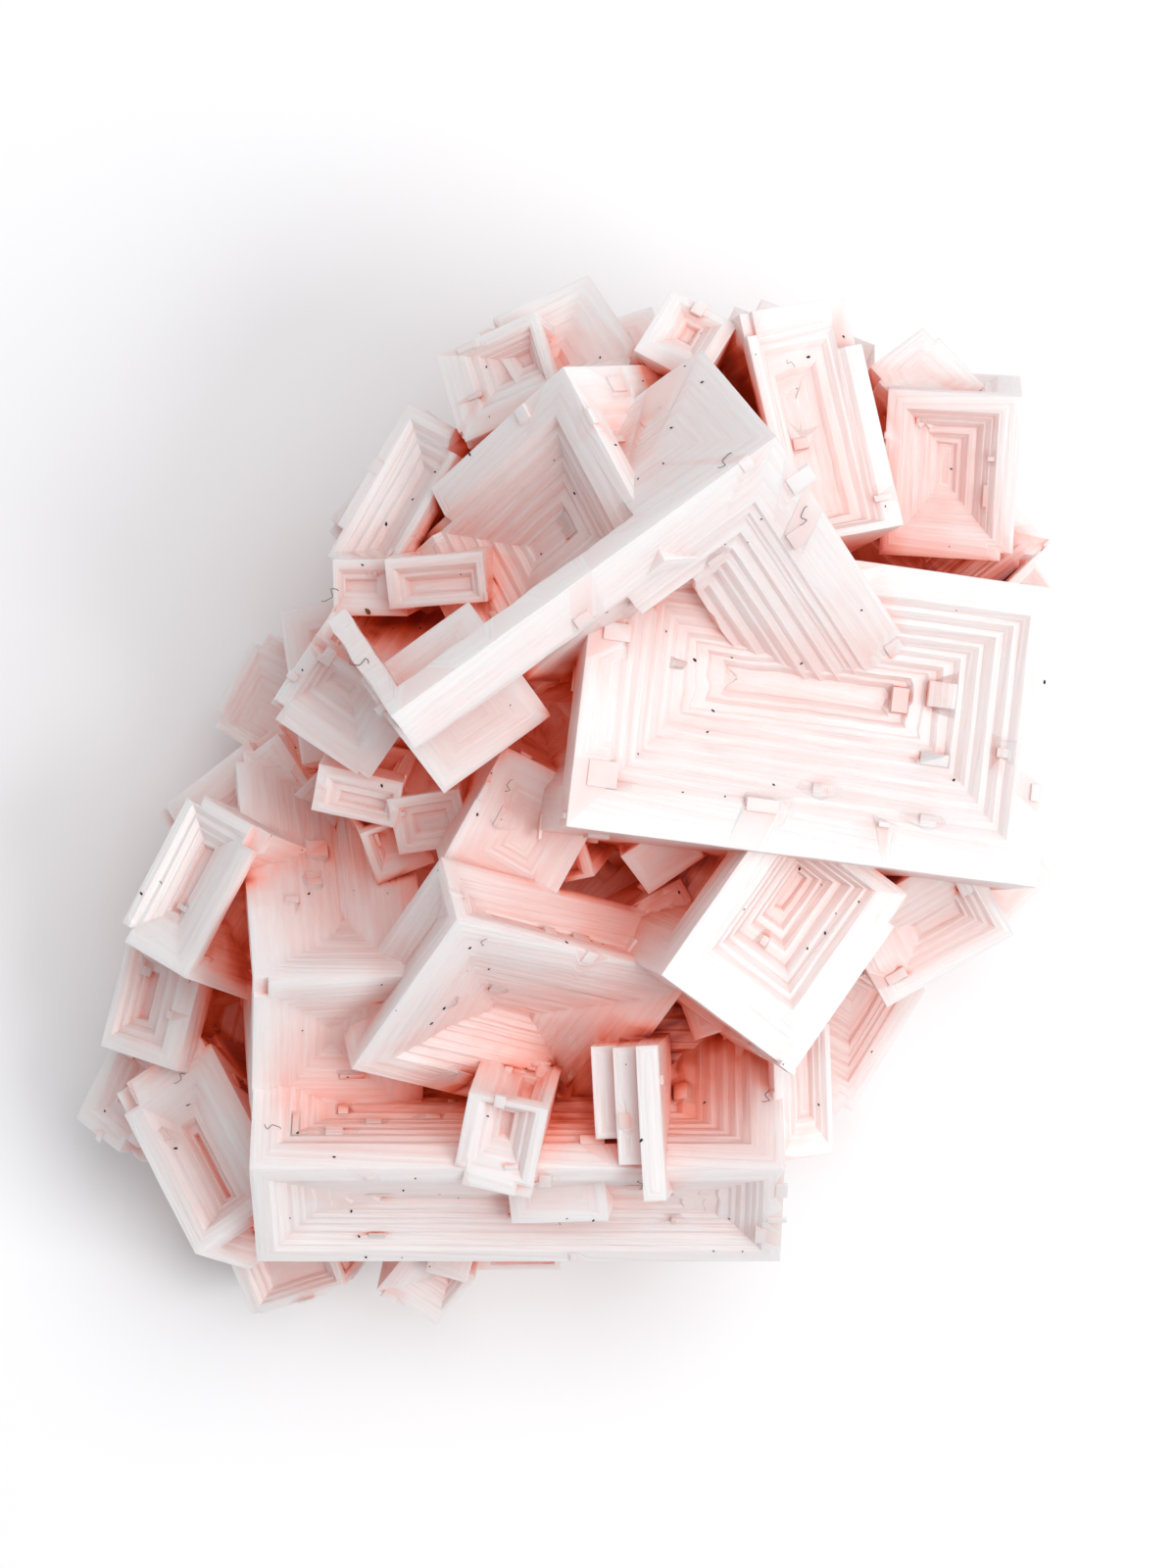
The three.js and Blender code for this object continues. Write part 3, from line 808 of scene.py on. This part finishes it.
mask = solid.attributes.new("outer", "BOOLEAN", "POINT")
mask.data.foreach_set("value", outermost_shell(solid))
shell_tree, given = growth_tree("Outermost shell", (("Body", "NodeSocketObject"),))
body = add(shell_tree, "GeometryNodeObjectInfo", {0: given["Body"]})
outer_name = add(shell_tree, "GeometryNodeInputNamedAttribute", {"Name": "outer"}, data_type="BOOLEAN")
kept = add(
    shell_tree,
    "GeometryNodeSeparateGeometry",
    {"Geometry": body.outputs["Geometry"], "Selection": outer_name},
    domain="POINT",
)
clean = kept
for spent in ("outer", "floor", "id", "inset_mm", "depth_mm"):
    clean = add(shell_tree, "GeometryNodeRemoveAttribute", {"Geometry": clean, "Name": spent})
add(shell_tree, "NodeGroupOutput", {0: add(shell_tree, "GeometryNodeRealizeInstances", {0: clean})})
solid = grown_mesh(shell_tree, {"Body": cluster}, "Pink_halite_cluster")
solid.shade_smooth()
solid.set_sharp_from_angle(angle=math.radians(34))
cluster.data = solid

# How open each point lies to the air, from 0 in the bottom of a cleft to 1 on a free edge.
tree_of_faces = BVHTree.FromPolygons(
    [vertex.co for vertex in solid.vertices], [tuple(face.vertices) for face in solid.polygons]
)
RAYS = 20
LONGEST_RAY = 22 * MM
LIFT = 0.06 * MM
golden = math.pi * (3 - math.sqrt(5))
lobe = [
    Vector((math.sqrt(h) * math.cos(golden * i), math.sqrt(h) * math.sin(golden * i), math.sqrt(1 - h)))
    for i, h in enumerate((step + 0.5) / RAYS for step in range(RAYS))
]
openness = np.zeros(len(solid.vertices))
for vertex in solid.vertices:
    facing = vertex.normal.to_track_quat("Z", "Y")
    start = vertex.co + vertex.normal * LIFT
    free = 0.0
    for way in lobe:
        hit = tree_of_faces.ray_cast(start, facing @ way, LONGEST_RAY)
        free += 1.0 if hit[0] is None else (hit[3] / LONGEST_RAY) ** 1.5
    openness[vertex.index] = free / RAYS
# The material paints shade and a glow into the clefts from this openness.
solid.attributes.new("openness", "FLOAT", "POINT").data.foreach_set("value", openness)


def linear(code, alpha=1.0):
    """A colour in sRGB hex as the linear values that sockets hold."""
    parts = [int(code[i : i + 2], 16) / 255 for i in (1, 3, 5)]
    return (*(c / 12.92 if c <= 0.04045 else ((c + 0.055) / 1.055) ** 2.4 for c in parts), alpha)


def material(name):
    made = bpy.data.materials.new(name)
    made.use_nodes = True
    made.node_tree.nodes.clear()
    return made, made.node_tree


# Pink halite: rock salt clouded by tiny brine pockets, tinted by salt-loving microbes. The pink is the salt's
# own, but its run from almost white on free edges to salmon and deep red in clefts is painted shade, set by
# openness.
halite, tree = material("Cloudy pink halite, hopper grown")
place = add(tree, "ShaderNodeTexCoord").outputs["Object"]
growth = add(tree, "ShaderNodeSeparateXYZ", {0: add(tree, "ShaderNodeUVMap", uv_map="growth")})
inset_mm, depth_mm = growth.outputs[0], growth.outputs[1]
open_air = add(tree, "ShaderNodeAttribute", attribute_name="openness").outputs["Fac"]
clouds = add(tree, "ShaderNodeTexNoise", {"Vector": place, "Scale": 170.0, "Detail": 3.0})
cloud_shift = add(tree, "ShaderNodeMath", {0: clouds, 1: 0.22, 2: -0.11}, operation="MULTIPLY_ADD")
shade = add(tree, "ShaderNodeMath", {0: open_air, 1: cloud_shift}, operation="ADD")
# Painted shade: the colour deepens from pale pink on open faces to deep red where little air is open to a
# point.
painted_shade_colour = add(tree, "ShaderNodeValToRGB", {0: shade})
painted_shade_ramp = painted_shade_colour.color_ramp
painted_shade_ramp.elements[0].position, painted_shade_ramp.elements[0].color = 0.05, linear("#7A0C04")
painted_shade_ramp.elements[1].position, painted_shade_ramp.elements[1].color = 1.0, linear("#FBEEEC")
for spot, code in (
    (0.13, "#B03A14"),
    (0.22, "#DC7458"),
    (0.33, "#F0A898"),
    (0.5, "#F4C6BD"),
    (0.78, "#F8DAD5"),
):
    painted_shade_ramp.elements.new(spot).color = linear(code)
# Growth bands, about 0.4 mm apart, run parallel to the crystal's edges: the striations.
along = add(tree, "ShaderNodeCombineXYZ", {0: inset_mm, 1: depth_mm})
soft_place = add(tree, "ShaderNodeVectorMath", {0: place, "Scale": 60.0}, operation="SCALE")
band_place = add(tree, "ShaderNodeVectorMath", {0: along, 1: soft_place}, operation="ADD")
bands = add(tree, "ShaderNodeTexNoise", {"Vector": band_place, "Scale": 2.4, "Detail": 3.0})
bands_wide = add(tree, "ShaderNodeMapRange", {"Value": bands, 1: 0.35, 2: 0.68, 3: 0.0, 4: 1.0})
# Painted highlight: the rims are painted nearly white for light that passes through thin edges. The growth
# bands are the salt's own, but all this whitening is multiplied by openness so it fades in clefts, a painted
# shade.
painted_rim_highlight = add(tree, "ShaderNodeMapRange", {"Value": inset_mm, 1: 3.2, 2: 0.4, 3: 0.0, 4: 0.5})
line_white = add(tree, "ShaderNodeMath", {0: bands_wide, 1: 0.45}, operation="MULTIPLY")
grown_face = add(tree, "ShaderNodeMapRange", {"Value": inset_mm, 1: 0.0, 2: 0.06, 3: 0.0, 4: 1.0})
painted_rim_share = add(tree, "ShaderNodeMath", {0: painted_rim_highlight, 1: grown_face}, operation="MULTIPLY")
bands_and_painted_rim_white = add(tree, "ShaderNodeMath", {0: painted_rim_share, 1: line_white}, operation="ADD")
bands_and_painted_light = add(tree, "ShaderNodeMath", {0: bands_and_painted_rim_white, 1: open_air}, operation="MULTIPLY")
banded_with_painted_light = add(
    tree, "ShaderNodeMix", {0: bands_and_painted_light, 6: painted_shade_colour.outputs[0], 7: linear("#FFFAF9")}, data_type="RGBA"
)
# A painted glow: the clefts emit a dull red light, standing in for light that has come through the salt.
painted_cleft_glow = add(tree, "ShaderNodeValToRGB", {0: shade})
painted_glow_ramp = painted_cleft_glow.color_ramp
painted_glow_ramp.elements[0].position, painted_glow_ramp.elements[0].color = 0.04, linear("#4A0600")
painted_glow_ramp.elements[1].position, painted_glow_ramp.elements[1].color = 0.55, linear("#000000")
for spot, code in ((0.14, "#842408"), (0.3, "#7C4638")):
    painted_glow_ramp.elements.new(spot).color = linear(code)
relief = add(tree, "ShaderNodeBump", {"Height": bands, "Strength": 0.8, "Distance": 0.2 * MM})
gloss = add(tree, "ShaderNodeMapRange", {"Value": clouds, 1: 0.3, 2: 0.7, 3: 0.32, 4: 0.5})
body = add(
    tree,
    "ShaderNodeBsdfPrincipled",
    {
        "Base Color": banded_with_painted_light.outputs[2],
        "Roughness": gloss,
        "Normal": relief,
        "IOR": 1.544,
        "Subsurface Weight": 0.6,
        "Subsurface Radius": (1.0, 0.62, 0.56),
        "Subsurface Scale": 1.4 * MM,
        "Transmission Weight": 0.12,
        # The emission is the painted glow in the clefts, set by openness.
        "Emission Color": painted_cleft_glow.outputs[0],
        "Emission Strength": 0.45,
    },
)
add(tree, "ShaderNodeOutputMaterial", {"Surface": body})
solid.materials.clear()
solid.materials.append(halite)
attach(cluster, "root")
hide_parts("halite_cluster")


# ---------------------------------------------------------------- Dust and lint
# Old dust on the crystals: dark specks a few tenths of a millimetre across, some grey lint
# curls, one brown grain and one long hair. They lie loose on the faces, held by nothing else.
DUST_INPUTS = (
    ("Body", "NodeSocketObject"),
    ("Grain", "NodeSocketObject"),
    ("Spacing", "NodeSocketFloat"),
    ("Density", "NodeSocketFloat"),
    ("Smallest", "NodeSocketFloat"),
    ("Largest", "NodeSocketFloat"),
    ("Seed", "NodeSocketInt"),
)
dust_tree, given = growth_tree("Loose dust", DUST_INPUTS)
body = add(dust_tree, "GeometryNodeObjectInfo", {0: given["Body"]})
grain = add(dust_tree, "GeometryNodeObjectInfo", {0: given["Grain"]})
facing = add(dust_tree, "ShaderNodeSeparateXYZ", {0: add(dust_tree, "GeometryNodeInputNormal")})
height = add(dust_tree, "ShaderNodeSeparateXYZ", {0: add(dust_tree, "GeometryNodeInputPosition")})
faces_up = add(dust_tree, "FunctionNodeCompare", {0: facing.outputs[2], 1: 0.45}, operation="GREATER_THAN")
MIDDLE_HEIGHT = 0.025
DUSTY_REACH = 0.022
from_middle = add(dust_tree, "ShaderNodeMath", {0: height.outputs[2], 1: MIDDLE_HEIGHT}, operation="SUBTRACT")
off_middle = add(dust_tree, "ShaderNodeMath", {0: from_middle}, operation="ABSOLUTE")
between = add(dust_tree, "FunctionNodeCompare", {0: off_middle, 1: DUSTY_REACH}, operation="LESS_THAN")
upward = add(dust_tree, "FunctionNodeBooleanMath", {0: faces_up, 1: between}, operation="AND")
spots = add(
    dust_tree,
    "GeometryNodeDistributePointsOnFaces",
    {
        "Mesh": body.outputs["Geometry"],
        "Selection": upward,
        "Distance Min": given["Spacing"],
        "Density Max": given["Density"],
        "Seed": given["Seed"],
    },
    distribute_method="POISSON",
)
turned = add(
    dust_tree,
    "FunctionNodeRandomValue",
    {0: (0.0, 0.0, 0.0), 1: (0.0, 0.0, 6.28), "Seed": given["Seed"]},
    data_type="FLOAT_VECTOR",
)
leaning = add(
    dust_tree,
    "FunctionNodeRotateRotation",
    {0: spots.outputs["Rotation"], 1: turned.outputs[0]},
    rotation_space="LOCAL",
)
size = add(
    dust_tree,
    "FunctionNodeRandomValue",
    {2: given["Smallest"], 3: given["Largest"], "Seed": given["Seed"]},
    data_type="FLOAT",
)
strewn = add(
    dust_tree,
    "GeometryNodeInstanceOnPoints",
    {"Points": spots, "Instance": grain.outputs["Geometry"], "Rotation": leaning, "Scale": size.outputs[1]},
)
add(dust_tree, "NodeGroupOutput", {0: add(dust_tree, "GeometryNodeRealizeInstances", {0: strewn})})

# A speck is a small rough lump, wider than high.
speck_tree, given = growth_tree("Speck", (("Flatness", "NodeSocketFloat"),))
lump = add(speck_tree, "GeometryNodeMeshIcoSphere", {"Radius": 0.5, "Subdivisions": 2})
knobs = add(speck_tree, "ShaderNodeTexNoise", {"Scale": 2.6, "Detail": 1.0})
shift = add(
    speck_tree,
    "ShaderNodeVectorMath",
    {0: knobs.outputs["Color"], 1: NOISE_MIDDLE},
    operation="SUBTRACT",
)
bumpy = add(speck_tree, "ShaderNodeVectorMath", {0: shift, "Scale": 0.7}, operation="SCALE")
rough = add(speck_tree, "GeometryNodeSetPosition", {"Geometry": lump, "Offset": bumpy})
shape = add(speck_tree, "ShaderNodeCombineXYZ", {0: 1.0, 1: 0.7, 2: given["Flatness"]})
flattened = add(speck_tree, "GeometryNodeTransform", {"Geometry": rough, "Scale": shape})
add(speck_tree, "NodeGroupOutput", {0: flattened})

# A fibre is a thin round thread along a wavy line; the curls are short and strongly bent.
FIBRE_INPUTS = (
    ("Length", "NodeSocketFloat"),
    ("Bend", "NodeSocketFloat"),
    ("Thickness", "NodeSocketFloat"),
    ("Seed", "NodeSocketInt"),
)
fibre_tree, given = growth_tree("Fibre", FIBRE_INPUTS)
finish_x = add(fibre_tree, "ShaderNodeCombineXYZ", {0: given["Length"]})
line = add(fibre_tree, "GeometryNodeCurvePrimitiveLine", {"End": finish_x})
fine_line = add(fibre_tree, "GeometryNodeResampleCurve", {"Curve": line, "Count": 16})
place = add(fibre_tree, "GeometryNodeInputPosition")
salted = add(fibre_tree, "ShaderNodeMath", {0: given["Seed"], 1: 3.7}, operation="MULTIPLY")
apart = add(fibre_tree, "ShaderNodeCombineXYZ", {1: salted})
sampled = add(fibre_tree, "ShaderNodeVectorMath", {0: place, 1: apart}, operation="ADD")
waves = add(fibre_tree, "ShaderNodeTexNoise", {"Vector": sampled, "Scale": 2.2, "Detail": 0.0})
sway = add(
    fibre_tree,
    "ShaderNodeVectorMath",
    {0: waves.outputs["Color"], 1: NOISE_MIDDLE},
    operation="SUBTRACT",
)
flat_sway = add(fibre_tree, "ShaderNodeVectorMath", {0: sway, 1: (1.0, 1.0, 0.08)}, operation="MULTIPLY")
bend = add(fibre_tree, "ShaderNodeVectorMath", {0: flat_sway, "Scale": given["Bend"]}, operation="SCALE")
bent = add(fibre_tree, "GeometryNodeSetPosition", {"Geometry": fine_line, "Offset": bend})
thread = add(
    fibre_tree,
    "GeometryNodeCurvePrimitiveCircle",
    {"Resolution": 5, "Radius": given["Thickness"]},
)
tube = add(
    fibre_tree,
    "GeometryNodeCurveToMesh",
    {"Curve": bent, "Profile Curve": thread, "Fill Caps": True},
)
add(fibre_tree, "NodeGroupOutput", {0: add(fibre_tree, "GeometryNodeRealizeInstances", {0: tube})})


def matt(name, code, roughness):
    made, tree = material(name)
    paint = add(tree, "ShaderNodeBsdfPrincipled", {"Base Color": linear(code), "Roughness": roughness})
    add(tree, "ShaderNodeOutputMaterial", {"Surface": paint})
    return made


def lying_on_cluster(name, mesh, coating):
    piece = bpy.data.objects.new(name, mesh)
    bpy.context.scene.collection.objects.link(piece)
    mesh.materials.clear()
    mesh.materials.append(coating)
    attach(piece, "root")


def strewn_mesh(grain_mesh, values, name):
    grain_object = bpy.data.objects.new(f"{name} grain", grain_mesh)
    mesh = grown_mesh(dust_tree, {"Body": cluster, "Grain": grain_object, **values}, name)
    bpy.data.objects.remove(grain_object)
    return mesh


def dropped(mesh, spot, size, turn):
    """Sets a small mesh on the top of the cluster above a spot given in millimetres."""
    x, y = (Vector((*spot, 0)) - FOOTPRINT_MIDDLE).to_2d() * MM
    hit = tree_of_faces.ray_cast(Vector((x, y, 100 * MM)), Vector((0, 0, -1)))
    lie = hit[1].to_track_quat("Z", "Y").to_matrix().to_4x4()
    spin = Matrix.Rotation(math.radians(turn), 4, "Z")
    mesh.transform(Matrix.Translation(hit[0]) @ spin @ lie @ Matrix.Diagonal((size, size, size, 1)))
    return mesh


# Near-black mineral dust, matt.
soot = matt("Dark mineral dust, matt", "#2A2624", 0.9)
speck = grown_mesh(speck_tree, {"Flatness": 0.5}, "speck")
dust_values = {
    "Spacing": 1.5 * MM,
    "Density": 22000.0,
    "Smallest": 0.12 * MM,
    "Largest": 0.34 * MM,
    "Seed": 4,
}
lying_on_cluster("Dust_specks", strewn_mesh(speck, dust_values, "Dust_specks"), soot)

# Grey cotton lint.
lint = matt("Grey lint fibre", "#6E6A69", 0.95)
curl = grown_mesh(fibre_tree, {"Length": 1.0, "Bend": 1.6, "Thickness": 0.035, "Seed": 2}, "curl")
curl_values = {
    "Spacing": 8 * MM,
    "Density": 5000.0,
    "Smallest": 0.5 * MM,
    "Largest": 1.1 * MM,
    "Seed": 11,
}
lying_on_cluster("Lint_curls", strewn_mesh(curl, curl_values, "Lint_curls"), lint)

# One rusty grain of sand on the left block, and one dark brown hair across the front left one.
rust = matt("Rust-brown sand grain", "#7A3B22", 0.8)
sand = dropped(grown_mesh(speck_tree, {"Flatness": 0.8}, "Sand_grain"), (-17.6, 13.8), 0.55 * MM, 0)
lying_on_cluster("Sand_grain", sand, rust)
brown = matt("Dark brown hair", "#4A2B22", 0.5)
hair = grown_mesh(fibre_tree, {"Length": 1.0, "Bend": 0.25, "Thickness": 0.012, "Seed": 6}, "Hair")
hair = dropped(hair, (-33.2, -26.8), 5 * MM, 48)
lying_on_cluster("Hair", hair, brown)


# ---------------------------------------------------------------- Table top and light
# A plain white table top in an even white room. Two large soft lamps stand high, one to the
# right and a little to the front, one nearly overhead, so a soft shadow falls to the left.
table_mesh = bpy.data.meshes.new("Table_top")
REACH = 0.9
table_corners = [(-REACH, -REACH, 0), (REACH, -REACH, 0), (REACH, REACH, 0), (-REACH, REACH, 0)]
table_mesh.from_pydata(table_corners, [], [(0, 1, 2, 3)])
paper, tree = material("White table top, matt paint")
paint = add(tree, "ShaderNodeBsdfPrincipled", {"Base Color": linear("#F7F7F7"), "Roughness": 0.9})
add(tree, "ShaderNodeOutputMaterial", {"Surface": paint})
table_mesh.materials.append(paper)
table = bpy.data.objects.new("Table_top", table_mesh)
bpy.context.scene.collection.objects.link(table)

room = bpy.data.worlds.new("White room")
room.use_nodes = True
bpy.context.scene.world = room
room.node_tree.nodes["Background"].inputs["Color"].default_value = linear("#FAFBFF")
room.node_tree.nodes["Background"].inputs["Strength"].default_value = 0.47


def lamp(name, place, aim, size, watts):
    data = bpy.data.lights.new(name, "AREA")
    data.shape = "DISK"
    data.size = size
    data.energy = watts
    made = bpy.data.objects.new(name, data)
    made.location = place
    made.rotation_euler = (Vector(aim) - Vector(place)).to_track_quat("-Z", "Y").to_euler()
    bpy.context.scene.collection.objects.link(made)


lamp("Window side lamp", (0.58, -0.2, 0.72), (0, 0, 0.01), 0.5, 3.8)
lamp("Overhead fill", (0.2, 0.3, 0.84), (0, 0, 0), 0.8, 3.9)
bpy.context.scene.view_settings.view_transform = "Standard"
bpy.context.scene.view_settings.look = "None"
